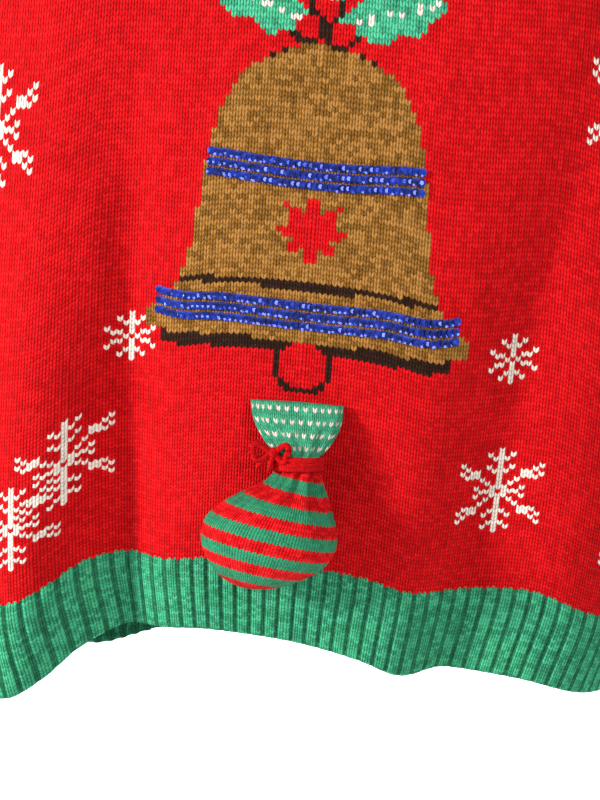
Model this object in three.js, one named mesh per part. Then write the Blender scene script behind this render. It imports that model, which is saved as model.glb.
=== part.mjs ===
// A knitted sweater vest, hanging filled out with nobody in it: a tube of cloth that is open at the neck, the
// armholes and the hem. Millimetres, +Z up. The origin lies midway between the neck ends of the two shoulder
// seams, at their level, and the front faces -Y.
//
// Every piece is a wall of cloth or a stuffed solid. A point of the cloth is found from two measures: "level",
// the height below the shoulder seams before the cloth sags, and "round", a share of the way from the middle
// of the front or back (0) round to the wearer's left (+1, towards +X) or right (-1) side seam.
import * as THREE from 'three';

// ---- Driving sizes -------------------------------------------------------------------------------------------
const SEAM_LEVEL = -580; // where the body is joined to the hem rib
const HEM_DEEP = 52;
const UNDERARM_LEVEL = -255;
const NECK_HALF_WIDE = 85;
const V_POINT_LEVEL = -190;
const BACK_NECK_DEEP = 22;
const SHOULDER_TIP_X = 190;
const SHOULDER_DROP = 35;
const SHOULDER_ROUND = 70; // how far down the shoulders' rounding reaches
const CHEST_ACROSS = 181; // half the width between the armholes, where it is narrowest
const CHEST_LEVEL = -150;

const BODY_WALL = 2.6;
const RIB_WALL = 3.4;
const SEQUIN_WALL = 1.2;
const GAP = 0.3; // between neighbouring pieces

const NECK_BAND = 25;
const ARM_BAND = 22;
const SQUARENESS = 2.5; // of a section: 2 is an ellipse, more is boxier

// Half the width and half the depth of the tube at each level.
const SECTIONS = [
  { level: -632, half_wide: 212, half_deep: 56 },
  { level: -580, half_wide: 226, half_deep: 63 },
  { level: -430, half_wide: 234, half_deep: 67 },
  { level: -255, half_wide: 232, half_deep: 66 },
  { level: -130, half_wide: 222, half_deep: 62 },
  { level: 0, half_wide: 218, half_deep: 60 },
];

// The large folds. "at" is the fold's place at the hem, in millimetres round the body from the middle of its
// face, "lean" how far that place moves for each millimetre up, "out" how far it stands out at the hem (less
// than nothing for a furrow), "slack" how fast its flanks die away, "soft" the rounding of its crest, and
// "top" the level where it has faded out.
const FRONT_FOLDS = [
  { at: -160, lean: 0.0, out: 22, slack: 22, soft: 20, top: -200 },
  { at: -101, lean: -0.02, out: -27, slack: 21, soft: 9, top: -170 },
  { at: -20, lean: 0.0, out: 4, slack: 40, soft: 30, top: -220 },
  { at: 62, lean: 0.05, out: 12, slack: 24, soft: 26, top: -160 },
  { at: 97, lean: 0.17, out: -13, slack: 17, soft: 16, top: -140 },
  { at: 165, lean: 0.1, out: 9, slack: 30, soft: 24, top: -200 },
  { at: 236, lean: 0.0, out: -8, slack: 26, soft: 20, top: -220 },
];
const BACK_FOLDS = [
  { at: -196, lean: 0.02, out: 12, slack: 24, soft: 24, top: -230 },
  { at: -128, lean: -0.05, out: -16, slack: 20, soft: 14, top: -180 },
  { at: -44, lean: 0.06, out: 9, slack: 34, soft: 28, top: -210 },
  { at: 38, lean: 0.1, out: -12, slack: 22, soft: 18, top: -160 },
  { at: 112, lean: 0.0, out: 13, slack: 28, soft: 22, top: -220 },
  { at: 176, lean: -0.04, out: -14, slack: 20, soft: 14, top: -190 },
];

// How far the hem's seam and its free edge hang below level, at places round the body from the middle.
const FRONT_SAG = [
  { at: -270, seam: 20, edge: 24 },
  { at: -200, seam: 30, edge: 38 },
  { at: -160, seam: 28, edge: 37 },
  { at: -142, seam: 17, edge: 25 },
  { at: -124, seam: 3, edge: 7 },
  { at: -98, seam: -2, edge: -6 },
  { at: -76, seam: -2, edge: -9 },
  { at: -45, seam: -7, edge: -13 },
  { at: 0, seam: -7, edge: -11 },
  { at: 45, seam: -3, edge: -3 },
  { at: 72, seam: 4, edge: 6 },
  { at: 100, seam: 4, edge: 3 },
  { at: 145, seam: 1, edge: 6 },
  { at: 190, seam: 16, edge: 17 },
  { at: 270, seam: 20, edge: 24 },
];
const BACK_SAG = [
  { at: -270, seam: 20, edge: 24 },
  { at: -190, seam: 26, edge: 29 },
  { at: -126, seam: 26, edge: 30 },
  { at: -80, seam: 18, edge: 21 },
  { at: 0, seam: 8, edge: 9 },
  { at: 110, seam: 8, edge: 9 },
  { at: 190, seam: 15, edge: 17 },
  { at: 270, seam: 20, edge: 24 },
];

// ---- Colours -------------------------------------------------------------------------------------------------
const cloth = (colour) => new THREE.MeshStandardMaterial({ color: colour, roughness: 0.9, metalness: 0 });
const RED_KNIT = cloth(0xcf0d14);
const GREEN_RIB = cloth(0x237a57);
const STUFFED_KNIT = cloth(0x9c3030);
const BLUE_SEQUINS = new THREE.MeshStandardMaterial({ color: 0x1a34a8, roughness: 0.2, metalness: 0.3 });

// ---- The cloth's surface -------------------------------------------------------------------------------------
const clamp = (value, low, high) => Math.min(high, Math.max(low, value));
const mix = (a, b, share) => a + (b - a) * share;
function ease(share) {
  const t = clamp(share, 0, 1);
  return t * t * (3 - 2 * t);
}

// A smooth curve through one column of a table whose rows run in order of another column.
function along(table, key, column, where) {
  const last = table.length - 1;
  const x = clamp(where, table[0][key], table[last][key]);
  let i = 0;
  while (i < last - 1 && x > table[i + 1][key]) i += 1;
  const slope = (k) => {
    const a = table[Math.max(0, k - 1)];
    const b = table[Math.min(last, k + 1)];
    return (b[column] - a[column]) / (b[key] - a[key]);
  };
  const span = table[i + 1][key] - table[i][key];
  const t = (x - table[i][key]) / span;
  const rise = table[i + 1][column] - table[i][column];
  const start = slope(i) * span;
  const end = slope(i + 1) * span;
  return table[i][column] + t * (start + t * (3 * rise - 2 * start - end + t * (start + end - 2 * rise)));
}

// A quarter of the tube's section, with the running length from the middle of a face to the side seam.
const QUARTER_STEPS = 96;
const quarters = new Map();
function quarter(level) {
  if (!quarters.has(level)) {
    const halfWide = along(SECTIONS, 'level', 'half_wide', level);
    const halfDeep = along(SECTIONS, 'level', 'half_deep', level);
    const at = (turn) => ({
      x: halfWide * Math.sin(turn) ** (2 / SQUARENESS),
      y: halfDeep * Math.max(0, Math.cos(turn)) ** (2 / SQUARENESS),
    });
    const runs = [0];
    let before = at(0);
    for (let i = 1; i <= QUARTER_STEPS; i += 1) {
      const point = at((Math.PI / 2) * (i / QUARTER_STEPS));
      runs.push(runs[i - 1] + Math.hypot(point.x - before.x, point.y - before.y));
      before = point;
    }
    quarters.set(level, { at, runs, halfWide, length: runs[QUARTER_STEPS] });
  }
  return quarters.get(level);
}

function turnAt(section, share) {
  const run = share * section.length;
  let low = 0;
  let high = QUARTER_STEPS;
  while (high - low > 1) {
    const middle = (low + high) >> 1;
    if (section.runs[middle] <= run) low = middle;
    else high = middle;
  }
  const part = (run - section.runs[low]) / (section.runs[high] - section.runs[low]);
  return (Math.PI / 2) * ((low + part) / QUARTER_STEPS);
}

// The share round the body where the section is x wide.
function shareAt(level, x) {
  const section = quarter(level);
  const turn = Math.asin(clamp(x / section.halfWide, 0, 1) ** (SQUARENESS / 2));
  const place = (turn / (Math.PI / 2)) * QUARTER_STEPS;
  const i = Math.min(QUARTER_STEPS - 1, Math.floor(place));
  return mix(section.runs[i], section.runs[i + 1], place - i) / section.length;
}

function foldOut(folds, level, place) {
  let out = 0;
  for (const fold of folds) {
    const centre = fold.at + fold.lean * (level - (SEAM_LEVEL - HEM_DEEP));
    const reach = (Math.hypot(place - centre, fold.soft) - fold.soft) / fold.slack;
    out += fold.out * Math.exp(-reach) * ease((fold.top - level) / (fold.top - SEAM_LEVEL + HEM_DEEP));
  }
  return out;
}

// face is 'front' or 'back'; round runs from -1 to 1.
function place(face, round, level) {
  const section = quarter(level);
  const side = Math.sign(round) || 1;
  const share = Math.min(1, Math.abs(round));
  const turn = turnAt(section, share);
  const flat = section.at(turn);
  const near = section.at(clamp(turn - 0.004, 0, Math.PI / 2));
  const far = section.at(clamp(turn + 0.004, 0, Math.PI / 2));
  const tangent = Math.hypot(far.x - near.x, far.y - near.y);
  const outX = (near.y - far.y) / tangent;
  const outY = (far.x - near.x) / tangent;
  const depth = Math.sqrt(Math.max(0, 1 - (1 - Math.min(1, -level / SHOULDER_ROUND)) ** 2));
  const distance = side * share * section.length;
  const folds = face === 'front' ? FRONT_FOLDS : BACK_FOLDS;
  const sags = face === 'front' ? FRONT_SAG : BACK_SAG;
  const out = foldOut(folds, level, distance) * ease((1 - share) / 0.12);
  const towards = face === 'front' ? -1 : 1;

  const slope = clamp((flat.x - NECK_HALF_WIDE) / (SHOULDER_TIP_X - NECK_HALF_WIDE), -0.3, 1.3);
  const seam = along(sags, 'at', 'seam', distance);
  const edge = along(sags, 'at', 'edge', distance);
  const sag = mix(seam, edge, clamp((SEAM_LEVEL - level) / HEM_DEEP, 0, 1));
  return new THREE.Vector3(
    side * (flat.x + out * outX),
    towards * (flat.y * depth + out * outY),
    level - SHOULDER_DROP * slope * ease(1 + level / 160) - sag * ease(-(level + 120) / 330),
  );
}

// A point of the cloth with the way it faces, worked out from neighbouring points.
const STEP = 0.5;
function clothPoint(face, round, level) {
  const share = STEP / quarter(level).length;
  const left = place(face, Math.max(-1, round - share), level);
  const right = place(face, Math.min(1, round + share), level);
  const up = place(face, round, Math.min(0, level + STEP));
  const down = place(face, round, level - STEP);
  const facing = right.sub(left).cross(up.sub(down));
  if (face === 'back') facing.negate();
  if (level === 0) facing.setY(0); // along the shoulder seam, the cloth faces straight up
  return { at: place(face, round, level), facing: facing.normalize() };
}

// ---- Walls ---------------------------------------------------------------------------------------------------
// A closed wall of the given thickness behind grids of cloth points. Points in one place are shared, and the
// free edges of the outer layer are closed to the inner one.
function wall(grids, thickness) {
  const points = [];
  const known = new Map();
  const idOf = (point) => {
    const key = point.at.toArray().map((v) => Math.round(v * 1000)).join(',');
    if (!known.has(key)) {
      known.set(key, points.length);
      points.push(point);
    }
    return known.get(key);
  };
  const outer = [];
  for (const grid of grids) {
    for (let j = 0; j + 1 < grid.length; j += 1) {
      for (let i = 0; i + 1 < grid[j].length; i += 1) {
        const [a, b, c, d] = [grid[j][i], grid[j][i + 1], grid[j + 1][i + 1], grid[j + 1][i]].map(idOf);
        outer.push([a, b, c], [a, c, d]);
      }
    }
  }
  const faces = outer.filter(([a, b, c]) => a !== b && b !== c && c !== a);
  const count = points.length;
  const triangles = [...faces, ...faces.map(([a, b, c]) => [a + count, c + count, b + count])];
  const edges = new Set(faces.flatMap(([a, b, c]) => [`${a}_${b}`, `${b}_${c}`, `${c}_${a}`]));
  for (const edge of edges) {
    const [a, b] = edge.split('_').map(Number);
    if (!edges.has(`${b}_${a}`)) triangles.push([b, a, a + count], [b, a + count, b + count]);
  }
  const inner = points.map((point) => point.at.clone().addScaledVector(point.facing, -thickness));
  return closed([...points.map((point) => point.at), ...inner], triangles);
}

// A closed mesh, turned so that its faces point out.
function closed(vertices, triangles) {
  let volume = 0;
  for (const [a, b, c] of triangles) {
    volume += vertices[a].dot(new THREE.Vector3().crossVectors(vertices[b], vertices[c]));
  }
  const turned = volume < 0 ? triangles.map(([a, b, c]) => [a, c, b]) : triangles;
  const geometry = new THREE.BufferGeometry().setFromPoints(vertices);
  geometry.setIndex(turned.flat());
  geometry.computeVertexNormals();
  return geometry;
}

// ---- The body's edges ----------------------------------------------------------------------------------------
// The levels of the rows of points, which both panels and all their bands share.
const BODY_ROWS = 9;
const BODY_LEVELS = Array.from({ length: BODY_ROWS + 1 }, (_, i) => mix(SEAM_LEVEL, UNDERARM_LEVEL, i / BODY_ROWS));
const ARM_LEVELS = [-253, -246, -233, -213, V_POINT_LEVEL, -168, CHEST_LEVEL];
const SHOULDER_LEVELS = [-122, -95, -70, -50, -35, -BACK_NECK_DEEP, -20.3, -16.5, -10, -4, 0];
const UPPER_LEVELS = [UNDERARM_LEVEL, ...ARM_LEVELS, ...SHOULDER_LEVELS];

// The armhole's edge at a row's level, or a curve that lies "inset" inside the opening.
function armholeAt(level, inset) {
  if (level < CHEST_LEVEL) {
    const turn = Math.asin((CHEST_LEVEL - level) / (CHEST_LEVEL - UNDERARM_LEVEL));
    const edgeLevel = CHEST_LEVEL - (CHEST_LEVEL - UNDERARM_LEVEL - inset) * Math.sin(turn);
    const widest = quarter(edgeLevel).halfWide;
    return { level: edgeLevel, x: mix(widest, CHEST_ACROSS + inset, Math.cos(turn)) };
  }
  const rise = ease((level - CHEST_LEVEL) / -CHEST_LEVEL);
  return { level, x: mix(CHEST_ACROSS, SHOULDER_TIP_X, rise) + inset };
}

// The V of the front, as a share of its height: 0 at its point, 1 at the shoulder seam.
function frontNeckAt(share, inset) {
  const mitre = inset * 2.3; // the band's inner corner lies this far above the point of the V
  return {
    level: (V_POINT_LEVEL + mitre) * (1 - share),
    x: (NECK_HALF_WIDE - inset) * (1 - (1 - share) ** 1.15),
  };
}

// The back's shallow curve: 0 at the middle, 1 at the shoulder seam.
function backNeckAt(share, inset) {
  const deep = BACK_NECK_DEEP - inset * 0.62; // the rounding of the shoulders makes up the rest of the band
  const level = -deep * (1 - share);
  return { level, x: (NECK_HALF_WIDE - inset) * Math.sqrt(1 - (level / deep) ** 2) };
}

function edgePoint(face, side, edge) {
  return clothPoint(face, side * shareAt(edge.level, edge.x), edge.level);
}

// ---- Front and back ------------------------------------------------------------------------------------------
// Where the columns of points stand, as shares of the way round, closer together where the folds are sharp.
const FRONT_COLUMNS = [0, 0.07, 0.14, 0.2, 0.25, 0.3, 0.34, 0.38, 0.42, 0.46, 0.51, 0.56, 0.61, 0.67, 0.74, 0.81, 0.88, 0.94, 1];
const BACK_COLUMNS = [0, 0.09, 0.18, 0.27, 0.36, 0.44, 0.52, 0.6, 0.68, 0.76, 0.84, 0.92, 1];

// Keeps a piece's side seam half a gap from its neighbour's.
const atSeam = (round, level) => round * (1 - GAP / 2 / quarter(level).length);

// Half of a panel, from its middle or its neck edge to its side seam or its armhole edge.
function panelHalf(face, side, columns, neckShareOf) {
  const rows = BODY_LEVELS.slice(0, -1).map((level) =>
    columns.map((share) => clothPoint(face, side * atSeam(share, level), level)));
  for (const rowLevel of UPPER_LEVELS) {
    const arm = armholeAt(rowLevel, 0);
    const armShare = rowLevel === UNDERARM_LEVEL ? atSeam(1, arm.level) : shareAt(arm.level, arm.x);
    const neckShare = neckShareOf(rowLevel);
    rows.push(columns.map((share, i) => {
      const level = i === columns.length - 1 ? arm.level : rowLevel;
      return clothPoint(face, side * mix(neckShare, armShare, share), level);
    }));
  }
  return side > 0 ? rows : rows.map((row) => [...row].reverse());
}

function shoulderGap(grid, face) {
  // The shoulder seam: the two panels meet over the top, half a gap each side of it.
  const away = face === 'front' ? -GAP / 2 : GAP / 2;
  for (const point of grid[grid.length - 1]) point.at.y += away;
  return grid;
}

function panel(face, columns, neckShareOf) {
  const halves = [1, -1].map((side) => shoulderGap(panelHalf(face, side, columns, neckShareOf), face));
  return wall(halves, BODY_WALL);
}

function frontNeckShare(level) {
  if (level <= V_POINT_LEVEL) return 0;
  const edge = frontNeckAt(1 - level / V_POINT_LEVEL, 0);
  return shareAt(level, edge.x);
}

function backNeckShare(level) {
  if (level <= -BACK_NECK_DEEP) return 0;
  const edge = backNeckAt(1 + level / BACK_NECK_DEEP, 0);
  return shareAt(level, edge.x);
}

const frontPanel = panel('front', FRONT_COLUMNS, frontNeckShare);
const backPanel = panel('back', BACK_COLUMNS, backNeckShare);

// ---- Hem ribs ------------------------------------------------------------------------------------------------
function hem(face, columns) {
  const rounds = [...columns.slice(1).reverse().map((share) => -share), ...columns];
  const top = SEAM_LEVEL - GAP;
  const levels = Array.from({ length: 4 }, (_, i) => mix(SEAM_LEVEL - HEM_DEEP, top, i / 3));
  return wall([levels.map((level) => rounds.map((round) => clothPoint(face, atSeam(round, level), level)))], RIB_WALL);
}

const hemFront = hem('front', FRONT_COLUMNS);
const hemBack = hem('back', BACK_COLUMNS);

// ---- Neck and armhole bands ----------------------------------------------------------------------------------
// A band runs round a loop of stations, each a pair of edges: the body's edge, which it just clears, and the
// band's own free edge.
const BAND_SHARES = [0.026, 0.5, 1];
function band(stations) {
  const ring = stations.map(({ face, side, near, far }) => BAND_SHARES.map((share) =>
    edgePoint(face, side, { level: mix(near.level, far.level, share), x: mix(near.x, far.x, share) })));
  return wall([[...ring, ring[0]]], RIB_WALL);
}

function neckStations(side) {
  const front = UPPER_LEVELS.filter((level) => level >= V_POINT_LEVEL).map((level) => {
    const share = 1 - level / V_POINT_LEVEL;
    return { face: 'front', side, near: frontNeckAt(share, 0), far: frontNeckAt(share, NECK_BAND) };
  });
  const back = SHOULDER_LEVELS.filter((level) => level >= -BACK_NECK_DEEP && level < 0).reverse().map((level) => {
    const share = 1 + level / BACK_NECK_DEEP;
    return { face: 'back', side, near: backNeckAt(share, 0), far: backNeckAt(share, NECK_BAND) };
  });
  return [...front, ...back];
}

const rightNeck = neckStations(1);
const leftNeck = neckStations(-1).reverse().slice(1, -1);
const neckband = band([...rightNeck, ...leftNeck]);

function armholeBand(side) {
  const station = (face) => (level) =>
    ({ face, side, near: armholeAt(level, 0), far: armholeAt(level, ARM_BAND) });
  const front = UPPER_LEVELS.map(station('front'));
  const back = UPPER_LEVELS.slice(1, -1).reverse().map(station('back'));
  return band([...front, ...back]);
}

// ---- Sequin bands on the front -------------------------------------------------------------------------------
// A flat strip laid on the front, along an arc that sags below its ends. It stands off the cloth so that it
// clears the panel's facets.
const SEQUIN_BANDS = [
  { name: 'sequin_band_upper', level: -345, half_wide: 62, droop: 7, deep: 14 },
  { name: 'sequin_band_rim', level: -424, half_wide: 88, droop: 9, deep: 14 },
];
const STAND_OFF = 0.7;

function sequinBand({ level, half_wide: halfWide, droop, deep }) {
  const steps = 16;
  const rows = [0, 0.5, 1].map((up) => Array.from({ length: steps + 1 }, (_, i) => {
    const x = mix(-halfWide, halfWide, i / steps);
    const rowLevel = level - droop * (1 - (x / halfWide) ** 2) + (up - 0.5) * deep;
    const point = clothPoint('front', Math.sign(x) * shareAt(rowLevel, Math.abs(x)), rowLevel);
    point.at.addScaledVector(point.facing, STAND_OFF + SEQUIN_WALL);
    return point;
  }));
  return wall([rows], SEQUIN_WALL);
}

// ---- The stuffed ornament ------------------------------------------------------------------------------------
// Elliptical sections down a line that hangs in front of the cloth. "stand" is the middle's distance from it.
const CUFF = [
  { z: -475, x: -2, half_wide: 27, half_deep: 3.2, stand: 4 },
  { z: -486, x: -1, half_wide: 25, half_deep: 5, stand: 8.5 },
  { z: -497, x: 0, half_wide: 18, half_deep: 7, stand: 12 },
  { z: -504, x: 1, half_wide: 12.5, half_deep: 7.5, stand: 14 },
];
const TIE = [
  { z: -504.3, x: 1, half_wide: 13.5, half_deep: 8.5, stand: 14 },
  { z: -508.5, x: 1.5, half_wide: 15, half_deep: 10, stand: 14.5 },
  { z: -512.7, x: 2, half_wide: 13.5, half_deep: 8.5, stand: 15 },
];
const BALL = [
  { z: -513, x: 2, half_wide: 12, half_deep: 7.5, stand: 15 },
  { z: -521, x: 0, half_wide: 16, half_deep: 10, stand: 16.5 },
  { z: -529, x: -4, half_wide: 25, half_deep: 15, stand: 20 },
  { z: -539, x: -8, half_wide: 34, half_deep: 18, stand: 22 },
  { z: -551, x: -12, half_wide: 38, half_deep: 19.5, stand: 23.5 },
  { z: -563, x: -15, half_wide: 35, half_deep: 18.5, stand: 23 },
  { z: -573, x: -17, half_wide: 27, half_deep: 15, stand: 20 },
  { z: -580, x: -18, half_wide: 17, half_deep: 10, stand: 17 },
  { z: -584, x: -18.5, half_wide: 6, half_deep: 4, stand: 15 },
];
const ORNAMENT_SIDES = 18;
const FRONT_Y = -place('front', 0, -500).y; // how far forward the cloth is behind the ornament

function stuffed(sections, sides) {
  const vertices = sections.flatMap(({ z, x, half_wide: halfWide, half_deep: halfDeep, stand }) =>
    Array.from({ length: sides }, (_, k) => {
      const turn = (2 * Math.PI * k) / sides;
      return new THREE.Vector3(x + halfWide * Math.cos(turn), -FRONT_Y - stand + halfDeep * Math.sin(turn), z);
    }));
  const triangles = [];
  const last = sections.length - 1;
  for (let j = 0; j < last; j += 1) {
    for (let k = 0; k < sides; k += 1) {
      const next = (k + 1) % sides;
      const [a, b, c, d] = [j * sides + k, j * sides + next, (j + 1) * sides + next, (j + 1) * sides + k];
      triangles.push([a, b, c], [a, c, d]);
    }
  }
  for (let k = 1; k + 1 < sides; k += 1) {
    triangles.push([0, k + 1, k], [last * sides, last * sides + k, last * sides + k + 1]);
  }
  return closed(vertices, triangles);
}

// ---- The part ------------------------------------------------------------------------------------------------
const vest = new THREE.Group();
function add(name, geometry, material) {
  const mesh = new THREE.Mesh(geometry, material);
  mesh.name = name;
  vest.add(mesh);
}

add('front_panel', frontPanel, RED_KNIT);
add('back_panel', backPanel, RED_KNIT);
add('hem_front', hemFront, GREEN_RIB);
add('hem_back', hemBack, GREEN_RIB);
add('neckband', neckband, GREEN_RIB);
add('armhole_band_left', armholeBand(1), GREEN_RIB);
add('armhole_band_right', armholeBand(-1), GREEN_RIB);
for (const strip of SEQUIN_BANDS) add(strip.name, sequinBand(strip), BLUE_SEQUINS);
add('ornament_cuff', stuffed(CUFF, ORNAMENT_SIDES), GREEN_RIB);
add('ornament_tie', stuffed(TIE, ORNAMENT_SIDES), RED_KNIT);
add('ornament_ball', stuffed(BALL, ORNAMENT_SIDES), STUFFED_KNIT);

export default vest;
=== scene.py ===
"""A knitted sweater vest with a picture on its front, hanging filled out and hollow.

The cloth's surface is worked out from the garment's own sizes, in millimetres, and every knitted piece is a
grid of stitches laid on it: wales are the upright columns of stitches and rows run across.
"""

import math
import random

import bmesh
import bpy
import numpy as np
from mathutils import Matrix, Vector


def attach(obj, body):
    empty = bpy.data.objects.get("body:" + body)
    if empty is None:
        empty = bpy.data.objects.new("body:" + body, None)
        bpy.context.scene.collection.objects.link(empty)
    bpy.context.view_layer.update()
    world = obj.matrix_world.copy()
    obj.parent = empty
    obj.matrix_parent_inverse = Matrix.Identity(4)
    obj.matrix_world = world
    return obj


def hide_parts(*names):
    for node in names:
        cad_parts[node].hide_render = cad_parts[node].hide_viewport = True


bl_info = {
    "name": "Knitted sweater vest",
    "version": (1, 0, 0),
    "blender": (4, 5, 0),
    "location": "3D View > Sidebar > Vest",
    "description": "Knits a sweater vest stitch by stitch, with ribs, sequins and a stuffed ornament",
    "category": "Add Mesh",
}

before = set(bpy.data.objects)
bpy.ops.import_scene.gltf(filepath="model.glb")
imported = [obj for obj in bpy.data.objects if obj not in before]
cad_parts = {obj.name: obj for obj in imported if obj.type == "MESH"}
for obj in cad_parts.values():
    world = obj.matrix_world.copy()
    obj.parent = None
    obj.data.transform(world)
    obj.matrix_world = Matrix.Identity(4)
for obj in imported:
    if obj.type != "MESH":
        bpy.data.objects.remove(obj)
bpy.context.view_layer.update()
MM = 0.001

# ---- The garment's sizes, in millimetres ------------------------------------
SEAM_LEVEL = -580.0
HEM_DEEP = 52.0
UNDERARM_LEVEL = -255.0
NECK_HALF_WIDE = 85.0
V_POINT_LEVEL = -190.0
BACK_NECK_DEEP = 22.0
SHOULDER_TIP_X = 190.0
SHOULDER_DROP = 35.0
SHOULDER_ROUND = 70.0
CHEST_ACROSS = 181.0
CHEST_LEVEL = -150.0
NECK_BAND = 25.0
ARM_BAND = 22.0
SQUARENESS = 2.5

# level, half the width, half the depth
SECTIONS = (
    (-632, 212, 56), (-580, 226, 63), (-430, 234, 67), (-255, 232, 66), (-130, 222, 62), (0, 218, 60),
)
# place at the hem, lean, how far out, slack of the flanks, softness of the crest, level where it fades out
FOLDS = {
    "front": (
        (-160, 0.0, 22, 22, 20, -200), (-101, -0.02, -27, 21, 9, -170), (-20, 0.0, 4, 40, 30, -220),
        (62, 0.05, 12, 24, 26, -160), (97, 0.17, -13, 17, 16, -140), (165, 0.1, 9, 30, 24, -200),
        (236, 0.0, -8, 26, 20, -220),
    ),
    "back": (
        (-196, 0.02, 12, 24, 24, -230), (-128, -0.05, -16, 20, 14, -180), (-44, 0.06, 9, 34, 28, -210),
        (38, 0.1, -12, 22, 18, -160), (112, 0.0, 13, 28, 22, -220), (176, -0.04, -14, 20, 14, -190),
    ),
}
# place round the body, sag of the hem's seam, sag of its free edge
SAGS = {
    "front": (
        (-270, 20, 24), (-200, 30, 38), (-160, 28, 37), (-142, 17, 25), (-124, 3, 7), (-98, -2, -6),
        (-76, -2, -9), (-45, -7, -13), (0, -7, -11), (45, -3, -3), (72, 4, 6), (100, 4, 3), (145, 1, 6),
        (190, 16, 17), (270, 20, 24),
    ),
    "back": (
        (-270, 20, 24), (-190, 26, 29), (-126, 26, 30), (-80, 18, 21), (0, 8, 9), (110, 8, 9),
        (190, 15, 17), (270, 20, 24),
    ),
}
# Small soft creases laid over the folds: middle (round, level), half length and half width, tilt in
# degrees, and how far out.
CREASES = {
    "front": (
        (-70, -330, 70, 9, 8, -1.3), (-118, -420, 60, 8, -14, 1.0), (-52, -395, 46, 7, 22, -0.9),
        (66, -300, 80, 11, 10, 1.2), (112, -455, 52, 9, -18, 1.1), (150, -370, 70, 10, 14, -1.2),
        (-30, -545, 30, 6, 70, 0.8), (36, -520, 44, 8, 12, 1.2), (-150, -300, 60, 10, -6, 1.2),
        (20, -250, 50, 8, 60, -0.8), (-205, -450, 80, 11, 4, -1.4), (190, -500, 50, 9, 10, 1.2),
    ),
    "back": (
        (-150, -350, 80, 10, 8, -1.4), (-20, -300, 70, 11, -10, 1.2), (70, -420, 80, 10, 12, -1.4),
        (140, -500, 50, 8, -8, 1.2), (-80, -500, 60, 9, 14, 1.2), (0, -180, 50, 9, 75, -1.0),
        (-190, -260, 60, 10, 20, 1.2), (185, -300, 70, 10, -16, 1.3),
    ),
}

# ---- The knitting's sizes ---------------------------------------------------
WALE = 3.26
ROW_AT_HEM = 2.3
ROW_AT_CHEST = 3.2
ROW_STRETCH_LEVELS = (-560.0, -280.0)  # between them the rows' spacing grows from the first to the second
WALL = 2.4
RIB_WALL = 2.6
RIB_REPEAT = 8.6
RED, TAN, WHITE, GREEN, BROWN = range(5)


class VestSizes(bpy.types.PropertyGroup):
    """Sizes that a user would change."""

    wale_groove: bpy.props.FloatProperty(
        name="Groove", description="How deep the cloth dips between two wales", default=0.45 * MM,
        unit="LENGTH")
    rib_height: bpy.props.FloatProperty(
        name="Rib height", description="How far a rib stands above its groove", default=1.6 * MM,
        unit="LENGTH")
    sequin_size: bpy.props.FloatProperty(
        name="Sequin", description="Diameter of a sequin", default=5.0 * MM, unit="LENGTH")
    sequin_step: bpy.props.FloatProperty(
        name="Sequin step", description="Distance between two sequins on a strand", default=3.1 * MM,
        unit="LENGTH")


def hex_property(name, default):
    return bpy.props.StringProperty(name=name, description=name + " as an sRGB hex value", default=default)


class VestColours(bpy.types.PropertyGroup):
    """The yarns' colours."""

    red: hex_property("Red yarn", "D2060E")
    tan: hex_property("Tan yarn", "85591F")
    # Off-white yarn. Its pinkish tint is painted light: red light bounced off the red cloth around it.
    white: hex_property("Off-white yarn", "F6E3D4")
    green: hex_property("Holly green yarn", "3FA078")
    brown: hex_property("Dark brown yarn", "2B170D")
    rib: hex_property("Green rib yarn", "35966C")
    sequin: hex_property("Sequin blue", "1B3FC4")


# ---- The cloth's surface ----------------------------------------------------
def ease(share):
    t = np.clip(share, 0, 1)
    return t * t * (3 - 2 * t)


def along(table, column, where):
    """A smooth curve through one column of a table whose rows run in order of the first column."""
    keys = np.array([row[0] for row in table], float)
    values = np.array([row[column] for row in table], float)
    slopes = np.empty_like(values)
    slopes[1:-1] = (values[2:] - values[:-2]) / (keys[2:] - keys[:-2])
    slopes[0] = (values[1] - values[0]) / (keys[1] - keys[0])
    slopes[-1] = (values[-1] - values[-2]) / (keys[-1] - keys[-2])
    x = np.clip(where, keys[0], keys[-1])
    i = np.clip(np.searchsorted(keys, x) - 1, 0, len(keys) - 2)
    span = keys[i + 1] - keys[i]
    t = (x - keys[i]) / span
    rise = values[i + 1] - values[i]
    start, end = slopes[i] * span, slopes[i + 1] * span
    return values[i] + t * (start + t * (3 * rise - 2 * start - end + t * (start + end - 2 * rise)))


TURNS = np.linspace(0, math.pi / 2, 129)


def section_at(half_wide, half_deep, turn):
    x = half_wide * np.sin(turn) ** (2 / SQUARENESS)
    y = half_deep * np.maximum(np.cos(turn), 0) ** (2 / SQUARENESS)
    return x, y


def quarter(level):
    """Half width, half depth and running lengths of a quarter of the section at one level."""
    half_wide = float(along(SECTIONS, 1, level))
    half_deep = float(along(SECTIONS, 2, level))
    x, y = section_at(half_wide, half_deep, TURNS)
    runs = np.concatenate(([0], np.cumsum(np.hypot(np.diff(x), np.diff(y)))))
    return half_wide, half_deep, runs


def share_at(level, x):
    """The share round the body where the section is x wide."""
    half_wide, _, runs = quarter(level)
    turn = math.asin(min(1, max(0, x / half_wide)) ** (SQUARENESS / 2))
    return float(np.interp(turn, TURNS, runs) / runs[-1])


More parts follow.
